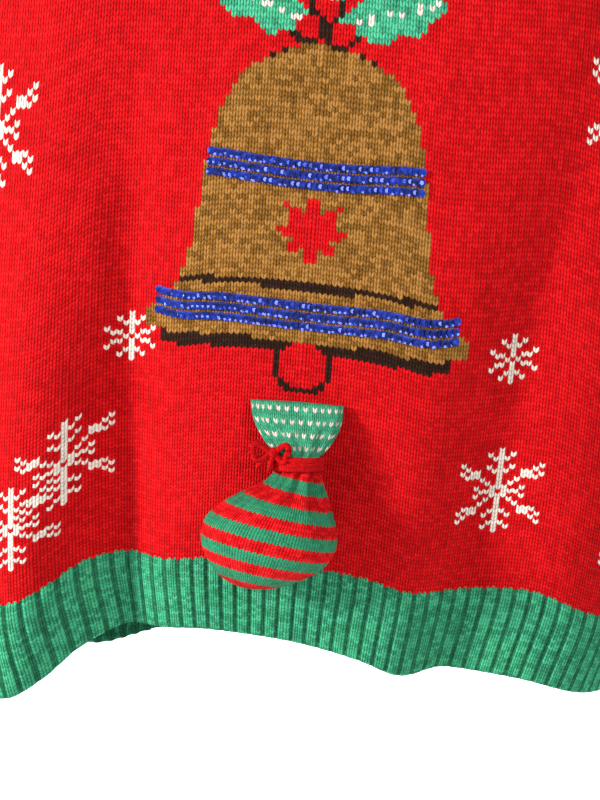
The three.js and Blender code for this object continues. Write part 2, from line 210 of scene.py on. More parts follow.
def cloth_row(face, level, shares):
    """Points of the cloth at one level; shares run from -1 to 1 round the body."""
    half_wide, half_deep, runs = quarter(level)
    side = np.where(shares < 0, -1.0, 1.0)
    share = np.minimum(np.abs(shares), 1)
    turn = np.interp(share * runs[-1], runs, TURNS)
    x, y = section_at(half_wide, half_deep, turn)
    near_x, near_y = section_at(half_wide, half_deep, np.clip(turn - 0.004, 0, math.pi / 2))
    far_x, far_y = section_at(half_wide, half_deep, np.clip(turn + 0.004, 0, math.pi / 2))
    tangent = np.hypot(far_x - near_x, far_y - near_y)
    distance = side * share * runs[-1]
    out = np.zeros_like(distance)
    for at, lean, stand, slack, soft, top in FOLDS[face]:
        centre = at + lean * (level - (SEAM_LEVEL - HEM_DEEP))
        reach = (np.hypot(distance - centre, soft) - soft) / slack
        out += stand * np.exp(-reach) * ease((top - level) / (top - SEAM_LEVEL + HEM_DEEP))
    for at, middle, long, wide, tilt, stand in CREASES[face]:
        a = math.radians(tilt)
        up = (level - middle) * math.cos(a) + (distance - at) * math.sin(a)
        across = (distance - at) * math.cos(a) - (level - middle) * math.sin(a)
        out += stand * np.exp(-((up / long) ** 2) - (across / wide) ** 2)
    out *= ease((1 - share) / 0.12)
    depth = math.sqrt(max(0.0, 1 - (1 - min(1.0, -level / SHOULDER_ROUND)) ** 2))
    slope = np.clip((x - NECK_HALF_WIDE) / (SHOULDER_TIP_X - NECK_HALF_WIDE), -0.3, 1.3)
    below = min(1.0, max(0.0, (SEAM_LEVEL - level) / HEM_DEEP))
    sag = along(SAGS[face], 1, distance) * (1 - below) + along(SAGS[face], 2, distance) * below
    towards = -1 if face == "front" else 1
    return np.stack([
        side * (x + out * (near_y - far_y) / tangent),
        towards * (y * depth + out * (far_x - near_x) / tangent),
        level - SHOULDER_DROP * slope * ease(1 + level / 160) - sag * ease(-(level + 120) / 330),
    ], axis=-1)


def facings(points, face):
    """The way the cloth faces at each point of a grid of rows, from the bottom up."""
    across = np.gradient(points, axis=1)
    up = np.gradient(points, axis=0)
    normal = np.cross(across, up)
    if face == "back":
        normal = -normal
    return normal / np.maximum(np.linalg.norm(normal, axis=-1, keepdims=True), 1e-9)


def armhole_at(level, inset):
    """Level and x of the armhole's edge, or of a curve inside the opening."""
    if level < CHEST_LEVEL:
        turn = math.asin(min(1, (CHEST_LEVEL - level) / (CHEST_LEVEL - UNDERARM_LEVEL)))
        edge = CHEST_LEVEL - (CHEST_LEVEL - UNDERARM_LEVEL - inset) * math.sin(turn)
        widest = quarter(edge)[0]
        return edge, widest + (CHEST_ACROSS + inset - widest) * math.cos(turn)
    rise = float(ease((level - CHEST_LEVEL) / -CHEST_LEVEL))
    return level, CHEST_ACROSS + (SHOULDER_TIP_X - CHEST_ACROSS) * rise + inset


def front_neck_at(share, inset):
    level = (V_POINT_LEVEL + inset * 2.3) * (1 - share)
    return level, (NECK_HALF_WIDE - inset) * (1 - (1 - share) ** 1.15)


def back_neck_at(share, inset):
    deep = BACK_NECK_DEEP - inset * 0.62
    level = -deep * (1 - share)
    return level, (NECK_HALF_WIDE - inset) * math.sqrt(max(0, 1 - (level / deep) ** 2))


# ---- Meshes -----------------------------------------------------------------
def grid_mesh(name, points, uvs, keep=None, closed_ring=False):
    """A mesh on a grid of points in millimetres, with its UV map and each face's row and column."""
    rows, columns = points.shape[:2]
    bm = bmesh.new()
    bmesh.ops.create_grid(bm, x_segments=columns - 1, y_segments=rows - 1, size=1.0)
    bm.verts.ensure_lookup_table()
    start = np.array([v.co[:2] for v in bm.verts])
    i = np.rint((start[:, 0] + 1) / 2 * (columns - 1)).astype(int)
    j = np.rint((start[:, 1] + 1) / 2 * (rows - 1)).astype(int)
    mesh = bpy.data.meshes.new(name)
    bm.to_mesh(mesh)
    bm.free()
    mesh.vertices.foreach_set("co", (points[j, i] * MM).astype(np.float32).ravel())
    corner = np.empty(len(mesh.loops), int)
    mesh.loops.foreach_get("vertex_index", corner)
    uv = mesh.uv_layers.new(name="Stitches")
    uv.uv.foreach_set("vector", uvs[j[corner], i[corner]].astype(np.float32).ravel())
    face_row = j[corner].reshape(-1, 4).min(axis=1)
    face_column = i[corner].reshape(-1, 4).min(axis=1)
    if keep is not None:
        bm = bmesh.new()
        bm.from_mesh(mesh)
        bm.faces.ensure_lookup_table()
        drop = np.nonzero(~keep[face_row, face_column])[0]
        bmesh.ops.delete(bm, geom=[bm.faces[k] for k in drop], context="FACES")
        bm.to_mesh(mesh)
        bm.free()
        kept = keep[face_row, face_column]
        face_row, face_column = face_row[kept], face_column[kept]
    if closed_ring:
        bm = bmesh.new()
        bm.from_mesh(mesh)
        bmesh.ops.remove_doubles(bm, verts=bm.verts, dist=0.01 * MM)
        bm.to_mesh(mesh)
        bm.free()
    mesh.update()
    return mesh, face_row, face_column


def add_piece(name, mesh, materials, nodes=()):
    for material in materials:
        mesh.materials.append(material)
    piece = bpy.data.objects.new(name, mesh)
    bpy.context.scene.collection.objects.link(piece)
    for polygon in mesh.polygons:
        polygon.use_smooth = True
    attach(piece, "root")
    if nodes:
        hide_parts(*nodes)
    return piece


def turn_out(mesh, direction_of):
    """Turns a sheet over if its faces point against the given directions, summed over the sheet."""
    total = 0.0
    for polygon in mesh.polygons:
        total += polygon.area * polygon.normal.dot(direction_of(polygon.center))
    if total < 0:
        mesh.flip_normals()


def solidify(piece, thickness):
    wall = piece.modifiers.new("Wall", "SOLIDIFY")
    wall.thickness = thickness * MM
    wall.offset = -1
    wall.use_even_offset = False
    return wall


# ---- Materials --------------------------------------------------------------
def linear(hex_value):
    """An sRGB hex colour as linear RGBA."""
    channels = [int(hex_value[k:k + 2], 16) / 255 for k in (0, 2, 4)]
    return tuple(c / 12.92 if c <= 0.04045 else ((c + 0.055) / 1.055) ** 2.4 for c in channels) + (1.0,)


def add_node(tree, kind, links=None, **settings):
    """Adds a node; links maps an input's name or number to a socket or a value."""
    made = tree.nodes.new(kind)
    for key, value in settings.items():
        setattr(made, key, value)
    for key, value in (links or {}).items():
        if isinstance(value, bpy.types.NodeSocket):
            tree.links.new(value, made.inputs[key])
        else:
            made.inputs[key].default_value = value
    return made


def maths(tree, operation, a, b=0.0):
    return add_node(tree, "ShaderNodeMath", {0: a, 1: b}, operation=operation).outputs[0]


def knit_material(name, colour, rib=False, stripes=None, dots=None, heather=0.16, bump=1.0, contrast=1.0):
    """Acrylic yarn in stocking stitch: soft, matt and slightly fuzzy, each stitch a V of two plump legs.

    The UV map counts wales and rows. A rib's map counts three to a repeat, the last one sunk out of sight.
    stripes is (second colour, rows to a stripe), and dots is a colour for every fourth stitch.
    """
    material = bpy.data.materials.new(name)
    material.use_nodes = True
    tree = material.node_tree
    tree.nodes.clear()
    out = add_node(tree, "ShaderNodeOutputMaterial")
    shader = add_node(tree, "ShaderNodeBsdfPrincipled")
    tree.links.new(shader.outputs[0], out.inputs[0])
    shader.inputs["Roughness"].default_value = 0.88
    shader.inputs["Specular IOR Level"].default_value = 0.12
    shader.inputs["Sheen Weight"].default_value = 0.05
    shader.inputs["Sheen Roughness"].default_value = 0.5
    shader.inputs["Sheen Tint"].default_value = linear(colour)

    uv = add_node(tree, "ShaderNodeUVMap", uv_map="Stitches")
    parts = add_node(tree, "ShaderNodeSeparateXYZ", {0: uv.outputs[0]})
    u, v = parts.outputs[0], parts.outputs[1]
    in_wale = maths(tree, "FRACT", u)
    from_middle = maths(tree, "ABSOLUTE", maths(tree, "SUBTRACT", in_wale, 0.5))
    leg_v = maths(tree, "ADD", v, maths(tree, "SUBTRACT", 0.5, from_middle))
    leg_across = maths(tree, "FRACT", maths(tree, "MULTIPLY", in_wale, 2.0))
    round_across = maths(tree, "SINE", maths(tree, "MULTIPLY", leg_across, math.pi))
    round_along = maths(tree, "SINE", maths(tree, "MULTIPLY", maths(tree, "FRACT", leg_v), math.pi))
    plump = maths(tree, "POWER", maths(tree, "MULTIPLY", round_across, maths(
        tree, "ADD", maths(tree, "MULTIPLY", round_along, 0.75), 0.25)), 0.6)

    # Each stitch takes the light a little differently, and the yarn is blotched over a few centimetres.
    stitch = add_node(tree, "ShaderNodeCombineXYZ", {
        0: maths(tree, "FLOOR", u), 1: maths(tree, "FLOOR", leg_v)})
    chance = add_node(tree, "ShaderNodeTexWhiteNoise", {0: stitch.outputs[0]}, noise_dimensions="2D")
    place = add_node(tree, "ShaderNodeTexCoord")
    fibre = add_node(tree, "ShaderNodeTexNoise", {
        "Vector": place.outputs["Object"], "Scale": 900.0, "Detail": 3.0, "Roughness": 0.7})
    blotch = add_node(tree, "ShaderNodeTexNoise", {
        "Vector": place.outputs["Object"], "Scale": 28.0, "Detail": 2.0})
    light = maths(tree, "ADD", maths(tree, "MULTIPLY", plump, 0.42), maths(
        tree, "ADD", maths(tree, "MULTIPLY", chance.outputs[0], heather), maths(
            tree, "ADD", maths(tree, "MULTIPLY", fibre.outputs[0], 0.34), maths(
                tree, "MULTIPLY", blotch.outputs[0], 0.12))))
    # Painted shade and highlight: the ramp darkens the yarn where the legs dip into the grooves between the
    # stitches, and lightens it above its own colour on the legs' crests. contrast sets how strong both are.
    # The heather, fibre and blotch terms add the yarn's own random tone.
    ramp = add_node(tree, "ShaderNodeValToRGB", {0: light})
    base = linear(colour)
    ramp.color_ramp.elements[0].position = 0.28
    ramp.color_ramp.elements[0].color = tuple(c * 0.34 / contrast for c in base[:3]) + (1,)
    ramp.color_ramp.elements[1].position = 0.62
    ramp.color_ramp.elements[1].color = base
    crest_highlight = ramp.color_ramp.elements.new(0.86)
    crest_highlight.color = tuple(min(1, c * (1 + 0.4 * contrast) + 0.012 * contrast) for c in base[:3]) + (1,)
    tint = ramp.outputs[0]

    def second(other, mask):
        """The same shading in another yarn where mask is 1."""
        bright = add_node(tree, "ShaderNodeValToRGB", {0: light})
        yarn = linear(other)
        bright.color_ramp.elements[0].position = 0.22
        bright.color_ramp.elements[0].color = tuple(c * 0.3 for c in yarn[:3]) + (1,)
        bright.color_ramp.elements[1].position = 0.75
        bright.color_ramp.elements[1].color = yarn
        return add_node(tree, "ShaderNodeMix", {0: mask, 6: tint, 7: bright.outputs[0]},
                        data_type="RGBA").outputs[2]

    if stripes:
        other, rows = stripes
        tint = second(other, maths(tree, "LESS_THAN", maths(
            tree, "FRACT", maths(tree, "DIVIDE", leg_v, 2.0 * rows)), 0.5))
    if dots:
        tint = second(dots, maths(tree, "MULTIPLY", maths(
            tree, "LESS_THAN", maths(tree, "FRACT", maths(tree, "DIVIDE", maths(
                tree, "ADD", maths(tree, "FLOOR", u), maths(tree, "FLOOR", leg_v)), 2.0)), 0.4), maths(
            tree, "LESS_THAN", maths(tree, "FRACT", maths(tree, "DIVIDE", leg_v, 3.0)), 0.34)))
    height = plump
    if rib:
        # Painted shade: the sunk wale of each rib repeat is darkened towards a fifth of the yarn's colour, as
        # shade in the rib's groove.
        groove_shade = maths(tree, "GREATER_THAN", maths(tree, "FRACT", maths(tree, "DIVIDE", u, 3.0)), 2 / 3)
        tint = add_node(tree, "ShaderNodeMix", {
            0: maths(tree, "MULTIPLY", groove_shade, 0.6), 6: tint,
            7: tuple(c * 0.2 for c in base[:3]) + (1,)}, data_type="RGBA").outputs[2]
    tree.links.new(tint, shader.inputs["Base Color"])
    fuzz = maths(tree, "ADD", height, maths(tree, "MULTIPLY", fibre.outputs[0], 0.35))
    relief = add_node(tree, "ShaderNodeBump", {"Height": fuzz, "Strength": 0.75, "Distance": 0.9 * MM * bump})
    tree.links.new(relief.outputs[0], shader.inputs["Normal"])
    return material


def yarn(key):
    """The knit material of one yarn, made once."""
    colours = bpy.context.scene.vest_colours
    name, colour, settings = {
        "red": ("acrylic knit red", colours.red, {}),
        "tan": ("acrylic knit tan", colours.tan, {"heather": 0.34, "contrast": 2.0}),
        "white": ("acrylic knit off-white", colours.white, {}),
        "green": ("acrylic knit holly green", colours.green, {"heather": 0.3, "contrast": 1.5}),
        "brown": ("acrylic knit dark brown", colours.brown, {}),
        "rib": ("acrylic rib green", colours.rib, {"rib": True, "heather": 0.3, "contrast": 1.5}),
        "striped": ("acrylic knit striped", colours.red, {"stripes": (colours.rib, 3), "heather": 0.3}),
        "cuff": ("acrylic knit cuff", colours.green, {"dots": colours.white, "heather": 0.24}),
        "yarn": ("acrylic yarn red", colours.red, {"bump": 0.7}),
    }[key]
    return bpy.data.materials.get(name) or knit_material(name, colour, **settings)


def sequin_material():
    """Punched and cupped PET sequins: hard, glossy and coated, a strong blue, with patches painted darker,
    near black, as painted shade of sequins turned away from the light.
    """
    material = bpy.data.materials.new("PET sequin, coated")
    material.use_nodes = True
    tree = material.node_tree
    shader = tree.nodes["Principled BSDF"]
    base = linear(bpy.context.scene.vest_colours.sequin)
    place = add_node(tree, "ShaderNodeTexCoord")
    each = add_node(tree, "ShaderNodeTexNoise", {
        "Vector": place.outputs["Object"], "Scale": 260.0, "Detail": 1.0})
    # Painted shade: a noise darkens some sequins towards a third of the blue, standing for sequins turned
    # away from the light.
    ramp = add_node(tree, "ShaderNodeValToRGB", {0: each.outputs[0]})
    ramp.color_ramp.elements[0].position = 0.38
    ramp.color_ramp.elements[0].color = tuple(c * 0.35 for c in base[:3]) + (1,)
    ramp.color_ramp.elements[1].position = 0.62
    ramp.color_ramp.elements[1].color = base
    tree.links.new(ramp.outputs[0], shader.inputs["Base Color"])
    shader.inputs["Metallic"].default_value = 0.55
    shader.inputs["Roughness"].default_value = 0.2
    shader.inputs["Coat Weight"].default_value = 0.6
    shader.inputs["Coat Roughness"].default_value = 0.08
    return material


def row_pitch(level):
    low, high = ROW_STRETCH_LEVELS
    grow = min(1.0, max(0.0, (level - low) / (high - low)))
    return ROW_AT_HEM + (ROW_AT_CHEST - ROW_AT_HEM) * grow


# ---- The picture knitted into the front -------------------------------------
BELL_RIM_LEVEL = -440.0
BELL_DROOP = 9.0
# height above the rim, half the width
BELL = (
    (0, 93), (10, 89), (22, 77), (45, 68), (85, 62), (120, 57), (145, 47), (160, 33), (170, 14), (172, 0),
)
CLAPPER = (0.0, -462.0, 17.0)  # x, level, radius
STAR = (0.0, -385.0, 21.0)
# Snowflakes, charted: large and small
FLAKE_CHARTS = (
    """
.......#.......
.....#.#.#.....
......###......
#......#......#
.#...#.#.#...#.
#.##..###..##.#
.###...#...###.
....#..#..#....
.....#.#.#.....
...#..###..#...
....###.###....
...#..###..#...
.....#.#.#.....
....#..#..#....
.###...#...###.
#.##..###..##.#
.#...#.#.#...#.
#......#......#
......###......
.....#.#.#.....
.......#.......
""",
    """
....#....
..#.#.#..
...###...
#...#...#
.##.#.##.
...#.#...
.##.#.##.
#...#...#
...###...
..#.#.#..
....#....
""",
)
# x, level, chart
FLAKES = (
    (-182, -312, 0), (120, -521, 0), (-132, -511, 0), (-158, -535, 0), (-101, -449, 1),
    (118, -442, 1), (174, -292, 0), (-128, -205, 1), (112, -196, 0), (208, -420, 1),
    (-222, -400, 1), (206, -530, 0), (-150, -120, 0), (148, -112, 1),
)
# tip x, tip level, root x, root level, half the width
HOLLY = ((-66, -243, -6, -268, 15), (66, -246, 6, -268, 15), (4, -212, 0, -262, 13))
BERRIES = ((-9, -268, 7.0), (9, -270, 7.0), (0, -257, 7.0))


def flake_at(x, y, pitch, chart):
    """Whether a stitch lies on a snowflake; x and y from its middle, pitch the rows' spacing there."""
    lines = FLAKE_CHARTS[chart].split()
    column = round(x / WALE) + len(lines[0]) // 2
    line = round(-y / pitch) + len(lines) // 2
    return 0 <= line < len(lines) and 0 <= column < len(lines[0]) and lines[line][column] == "#"


def leaf_at(x, y, leaf):
    """0 off a holly leaf, 1 on it and 2 on its vein."""
    tip_x, tip_y, root_x, root_y, half = leaf
    long = math.hypot(tip_x - root_x, tip_y - root_y)
    ux, uy = (tip_x - root_x) / long, (tip_y - root_y) / long
    run = ((x - root_x) * ux + (y - root_y) * uy) / long
    off = abs((y - root_y) * ux - (x - root_x) * uy)
    if not 0 < run < 1:
        return 0
    width = half * math.sin(math.pi * run) ** 0.6 * (0.7 + 0.3 * abs(math.cos(3 * math.pi * run)))
    if off > width:
        return 0
    return 2 if off < 1.7 and int(run * long / 4.5) % 2 == 0 else 1


def star_at(x, y, radius):
    """An eight-petalled star: eight lozenges about a point."""
    r = math.hypot(x, y) / radius
    if r > 1:
        return False
    a = (math.atan2(y, x) + math.pi / 8) % (math.pi / 4) - math.pi / 8
    off = abs(r * math.sin(a))
    return off < 0.23 * min(r / 0.45, (1.02 - r) / 0.5) and off > 0.0 and r > 0.06


def yarn_at(x, level):
    """The yarn of the stitch at x millimetres from the middle wale and at a level of the front."""
    for leaf in HOLLY:
        on = leaf_at(x, level, leaf)
        if on:
            for bx, by, br in BERRIES:
                if math.hypot(x - bx, level - by) < br:
                    return RED
            return WHITE if on == 2 else GREEN
    for bx, by, br in BERRIES:
        if math.hypot(x - bx, level - by) < br:
            return RED
        if math.hypot(x - bx, level - by) < br + 3:
            return BROWN
    rim = BELL_RIM_LEVEL - BELL_DROOP * (1 - (x / 93) ** 2)
    high = level - rim
    if 0 <= high <= 172 and abs(x) < along(BELL, 1, high):
        if star_at(x, level - STAR[1], STAR[2]):
            return RED
        if 30 < high < 33.5 or abs(abs(x) - along(BELL, 1, high)) < 2.0 and high > 160:
            return BROWN
        return TAN
    if math.hypot(x - CLAPPER[0], level - CLAPPER[1]) < CLAPPER[2]:
        return RED if math.hypot(x - CLAPPER[0], level - CLAPPER[1]) < CLAPPER[2] - 3.4 else BROWN
    if -7 <= high < 0 and abs(x) < 80:
        return BROWN
    for fx, fy, flake in FLAKES:
        if abs(x - fx) < 34 and flake_at(x - fx, level - fy, row_pitch(fy), flake):
            return WHITE
    return RED


# ---- Front and back ---------------------------------------------------------
ROUND_RADIUS = 66.0  # middling radius of the rounding at the shoulders, which sets its number of rows
UNDER_BAND = 1.5  # how far the fine knitting runs on under the bands
UNDER_BAND_COARSE = 3.0  # the same for the coarser layers, whose edges are less even


def row_levels(coarse=1):
    """The levels of the rows of stitches from the hem's seam up to the shoulder seam."""
    levels = [SEAM_LEVEL]
    while levels[-1] < -SHOULDER_ROUND:
        levels.append(levels[-1] + coarse * row_pitch(levels[-1]))
    levels.pop()
    rounded = math.ceil(math.pi / 2 * ROUND_RADIUS / (ROW_AT_CHEST * coarse))
    last = math.pi / 2
    if levels[-1] > -SHOULDER_ROUND:
        last = math.acos(max(-1, 1 + levels[-1] / SHOULDER_ROUND))
    levels += [-SHOULDER_ROUND * (1 - math.cos(last * (1 - k / rounded))) for k in range(1, rounded + 1)]
    return np.array(levels)


def panel_keep(face, levels, shares, overlap):
    """Which cells of a grid lie on the panel; overlap is how far it runs on under the bands."""
    keep = np.ones((len(levels) - 1, len(shares) - 1), bool)
    middles = (shares[1:] + shares[:-1]) / 2
    for j in range(len(levels) - 1):
        level = min(-0.01, (levels[j] + levels[j + 1]) / 2)
        if level > UNDERARM_LEVEL:
            _, x = armhole_at(level, overlap)
            keep[j] &= np.abs(middles) < share_at(level, x)
        neck = None
        if face == "front" and level > V_POINT_LEVEL:
            neck = front_neck_at(1 - level / V_POINT_LEVEL, 0)[1] - overlap
        if face == "back" and level > -BACK_NECK_DEEP:
            neck = back_neck_at(1 + level / BACK_NECK_DEEP, 0)[1] - overlap
        if neck is not None and neck > 0:
            keep[j] &= np.abs(middles) > share_at(level, neck)
    return keep


HALF_WALES = int(round(quarter(SEAM_LEVEL)[2][-1] / WALE))


def stitched_panel(face):
    """The fine face of a panel: two slanting cells to a stitch, so that the picture's edges show its Vs."""
    sizes = bpy.context.scene.vest_sizes
    levels = row_levels()
    shares = np.linspace(-1, 1, 4 * HALF_WALES + 1)
    points = np.stack([cloth_row(face, level, shares) for level in levels])
    facing = facings(points, face)
    half_row = np.gradient(points, axis=0) * 0.5
    points[:, 1::2] -= half_row[:, 1::2]
    points[:, ::2] -= facing[:, ::2] * sizes.wale_groove / MM
    wales = np.arange(4 * HALF_WALES + 1) / 2
    rows = np.arange(len(levels), dtype=float)
    uvs = np.stack(np.meshgrid(wales, rows), axis=-1)
    uvs[:, 1::2, 1] -= 0.5
    keep = panel_keep(face, levels, shares, UNDER_BAND)
    mesh, face_row, face_column = grid_mesh("front_knit", points, uvs, keep)
    return mesh, face_row, face_column, levels


def plain_sheet(name, face, offset, cell=3):
    """A coarser grid of the panel, cell stitches to a side, for the back and for insides."""
    levels = row_levels(cell)
    shares = np.linspace(-1, 1, 2 * round(2 * HALF_WALES / cell / 2) + 1)
    points = np.stack([cloth_row(face, level, shares) for level in levels])
    points += facings(points, face) * offset
    wales = (shares + 1) * HALF_WALES
    rows = np.arange(len(levels), dtype=float) * cell
    uvs = np.stack(np.meshgrid(wales, rows), axis=-1)
    keep = panel_keep(face, levels, shares, UNDER_BAND_COARSE)
    return grid_mesh(name, points, uvs, keep)[0]


def outward(face):
    way = Vector((0, -1 if face == "front" else 1, 0))
    return lambda centre: way + Vector((centre.x * 4, 0, 0))


class VEST_OT_front(bpy.types.Operator):
    """Knit the front with its picture"""

    bl_idname = "vest.front"
    bl_label = "Front"

    def execute(self, context):
        mesh, face_row, face_column, levels = stitched_panel("front")
        middle = HALF_WALES
        chart = {}
        index = np.zeros(len(mesh.polygons), np.int32)
        for k, (row, column) in enumerate(zip(face_row, face_column)):
            wale = int(column) // 2
            key = (wale, int(row))
            if key not in chart:
                chart[key] = yarn_at((wale + 0.5 - middle) * WALE, float(levels[row]))
            index[k] = chart[key]
        turn_out(mesh, outward("front"))
        mesh.polygons.foreach_set("material_index", index)
        # The cloth's inside is a coarser layer of the same piece, so that it stays one sheet of cloth.
        inside = plain_sheet("front_inside", "front", -WALL)
        turn_out(inside, outward("front"))
        inside.flip_normals()
        bm = bmesh.new()
        bm.from_mesh(mesh)
        bm.from_mesh(inside)
        bm.to_mesh(mesh)
        bm.free()
        bpy.data.meshes.remove(inside)
        piece = add_piece(
            "front_knit", mesh, [yarn(k) for k in ("red", "tan", "white", "green", "brown")],
            ["front_panel"])
        return {"FINISHED"}


class VEST_OT_back(bpy.types.Operator):
    """Knit the plain back"""

    bl_idname = "vest.back"
    bl_label = "Back"

    def execute(self, context):
        mesh = plain_sheet("back_knit", "back", 0.0)
        turn_out(mesh, outward("back"))
        piece = add_piece("back_knit", mesh, [yarn("red")], ["back_panel"])
        solidify(piece, WALL)
        return {"FINISHED"}


# ---- Ribs -------------------------------------------------------------------
# Across one repeat: place, height (1 is a wale's crest, 0 the groove's floor), wales counted on the UV map.
RIB_PROFILE = (
    (0.00, 0.0, -0.50), (0.09, 0.35, -0.12), (0.17, 0.85, 0.12), (0.31, 1.0, 0.5), (0.48, 0.86, 1.0),
    (0.65, 1.0, 1.5), (0.80, 0.85, 1.88), (0.90, 0.35, 2.12),
)


def rib_columns(repeats):
    places = [r + row[0] for r in range(repeats) for row in RIB_PROFILE] + [float(repeats)]
    heights = [row[1] for _ in range(repeats) for row in RIB_PROFILE] + [0.0]
    wales = [3 * r + row[2] for r in range(repeats) for row in RIB_PROFILE] + [3 * repeats - 0.5]
    return np.array(places) / repeats, np.array(heights), np.array(wales) + 3.0


class VEST_OT_hem(bpy.types.Operator):
    """Knit the two halves of the hem rib"""

    bl_idname = "vest.hem"
    bl_label = "Hem rib"

    def execute(self, context):
        height = context.scene.vest_sizes.rib_height / MM
        for face in ("front", "back"):
            girth = 2 * quarter(SEAM_LEVEL - HEM_DEEP / 2)[2][-1]
            places, heights, wales = rib_columns(round(girth / RIB_REPEAT))
            levels = np.linspace(SEAM_LEVEL - HEM_DEEP, SEAM_LEVEL + 1.0, 25)
            points = np.stack([cloth_row(face, level, places * 2 - 1) for level in levels])
            facing = facings(points, face)
            # The cast-on edge turns in a little, and the top is drawn in where it is linked to the body.
            run = np.linspace(0, 1, len(levels))[:, None]
            relief = heights[None, :] * height * (0.35 + 0.65 * ease(run / 0.08) * ease((1 - run) / 0.06))
            points = points + facing * (relief - height * 0.62)[..., None]
            uvs = np.stack(np.meshgrid(wales, (levels - levels[0]) / ROW_AT_HEM), axis=-1)
            name = "hem_rib_" + face
            mesh, _, _ = grid_mesh(name, points, uvs)
            turn_out(mesh, outward(face))
            piece = add_piece(name, mesh, [yarn("rib")], ["hem_" + face])
            solidify(piece, RIB_WALL)
        return {"FINISHED"}


def band_grid(stations, repeats, rows, lap):
    """A rib band round a loop of (face, side, near edge, far edge) stations, as points and stitch counts."""
    shares_across = np.linspace(-lap, 1, rows)
    dense = []
    for face, side, near, far in stations:
        line = []
        for t in shares_across:
            level = min(-0.02, near[0] + (far[0] - near[0]) * t)
            x = near[1] + (far[1] - near[1]) * t
            line.append(cloth_row(face, level, np.array([side * share_at(level, max(0, x))]))[0])
        dense.append(line)
    dense = np.array(dense + dense[:1])
    middle = dense[:, rows // 2]
    run = np.concatenate(([0], np.cumsum(np.linalg.norm(np.diff(middle, axis=0), axis=1))))
    places, heights, wales = rib_columns(repeats)
    wanted = places * run[-1]
    points = np.stack([
        np.stack([np.interp(wanted, run, dense[:, k, axis]) for axis in range(3)], axis=-1)
        for k in range(rows)])
    across = np.gradient(points, axis=1)
    across[:, 0] = across[:, -1] = points[:, 1] - points[:, -2]
    up = np.gradient(points, axis=0)
    facing = np.cross(across, up)
    facing /= np.maximum(np.linalg.norm(facing, axis=-1, keepdims=True), 1e-9)
    return points, facing, heights, wales, run[-1]


BAND_TIGHTER = 0.85  # a band's rib repeat, as a share of the hem's
BAND_FLATTER = 0.7  # a band's rib height, as a share of the hem's
BAND_LAP = 0.13  # how far a band laps over the panel, as a share of its width


def rib_band(name, node, stations, height, flip):
    rows = 11
    length = band_grid(stations, 8, 3, 0.0)[4]
    repeats = round(length / (RIB_REPEAT * BAND_TIGHTER))
    points, facing, heights, wales, length = band_grid(stations, repeats, rows, BAND_LAP)
    if flip:
        facing = -facing
    run = np.linspace(0, 1, rows)[:, None]
    relief = heights[None, :] * height * BAND_FLATTER * (0.3 + 0.7 * ease(run / 0.1) * ease((1 - run) / 0.1))
    points = points + facing * (relief + 0.2)[..., None]
    uvs = np.stack(np.meshgrid(wales, run[:, 0] * 10), axis=-1)
    mesh, _, _ = grid_mesh(name, points, uvs, closed_ring=True)
    lead = facing[rows // 2]
    centre = points[rows // 2]

    def way(at):
        nearest = np.argmin(np.linalg.norm(centre * MM - np.array(at), axis=1))
        return Vector(lead[nearest])

    turn_out(mesh, way)
    piece = add_piece(name, mesh, [yarn("rib")], [node])
    solidify(piece, RIB_WALL)
    return piece, length * MM


def spaced_levels(low, high, count):
    """Levels from low up to high, closer together where the shoulders round over."""
    deep = abs(low) - abs(high)
    return [-abs(low) + deep * math.sin(math.pi / 2 * k / count) for k in range(count + 1)]


class VEST_OT_bands(bpy.types.Operator):
    """Knit the neckband and the two armhole bands"""

    bl_idname = "vest.bands"
    bl_label = "Neck and armhole bands"

    def execute(self, context):
        height = context.scene.vest_sizes.rib_height / MM
        count = 48
        shares = [math.sin(math.pi / 2 * k / count) for k in range(count + 1)]
        halves = []
        for side in (1, -1):
            front = [("front", side, front_neck_at(s, 0), front_neck_at(s, NECK_BAND)) for s in shares]
            back = [("back", side, back_neck_at(1 - s, 0), back_neck_at(1 - s, NECK_BAND))
                    for s in [k / count for k in range(1, count + 1)]]
            halves.append(front + back)
        loop = halves[0] + halves[1][::-1][1:-1]
        piece, length = rib_band("neck_rib", "neckband", loop, height, True)
        for name, side in (("left", 1), ("right", -1)):
            levels = spaced_levels(UNDERARM_LEVEL, 0, 60)
            turn = [math.asin(k / 12) for k in range(12, 0, -1)]
            low = [CHEST_LEVEL - (CHEST_LEVEL - UNDERARM_LEVEL) * math.sin(t) for t in turn]
            levels = sorted(set([round(v, 3) for v in low + [v for v in levels if v > CHEST_LEVEL]]))
            front = [("front", side, armhole_at(v, 0), armhole_at(v, ARM_BAND)) for v in levels]
            back = [("back", side, armhole_at(v, 0), armhole_at(v, ARM_BAND)) for v in levels[1:-1]]
            piece, length = rib_band(
                "armhole_rib_" + name, "armhole_band_" + name, front + back[::-1], height, side < 0)
        return {"FINISHED"}


# ---- Sequins ----------------------------------------------------------------
# name, level, half the width, droop, depth, as the strips they stand for
SEQUIN_BANDS = (
    ("sequin_band_upper", -345.0, 62.0, 7.0, 14.0),
    ("sequin_band_rim", -424.0, 88.0, 9.0, 14.0),
)
STRANDS = 3
STRAND_MARGIN = 1.2  # from a band's long edges to the middle of its outer strands
END_MARGIN = 2.2  # from a band's ends to the middle of its last sequins
SEQUIN_STAND = 1.15  # how far a sequin's middle stands off the cloth


def front_point(x, level):
    """A point of the front and the way it faces."""
    share = math.copysign(share_at(level, abs(x)), x)
    step = 0.004
    grid = np.stack([cloth_row("front", level + d, np.array([share - step, share, share + step]))
                     for d in (-1.0, 0.0, 1.0)])
    return grid[1, 1], facings(grid, "front")[1, 1]


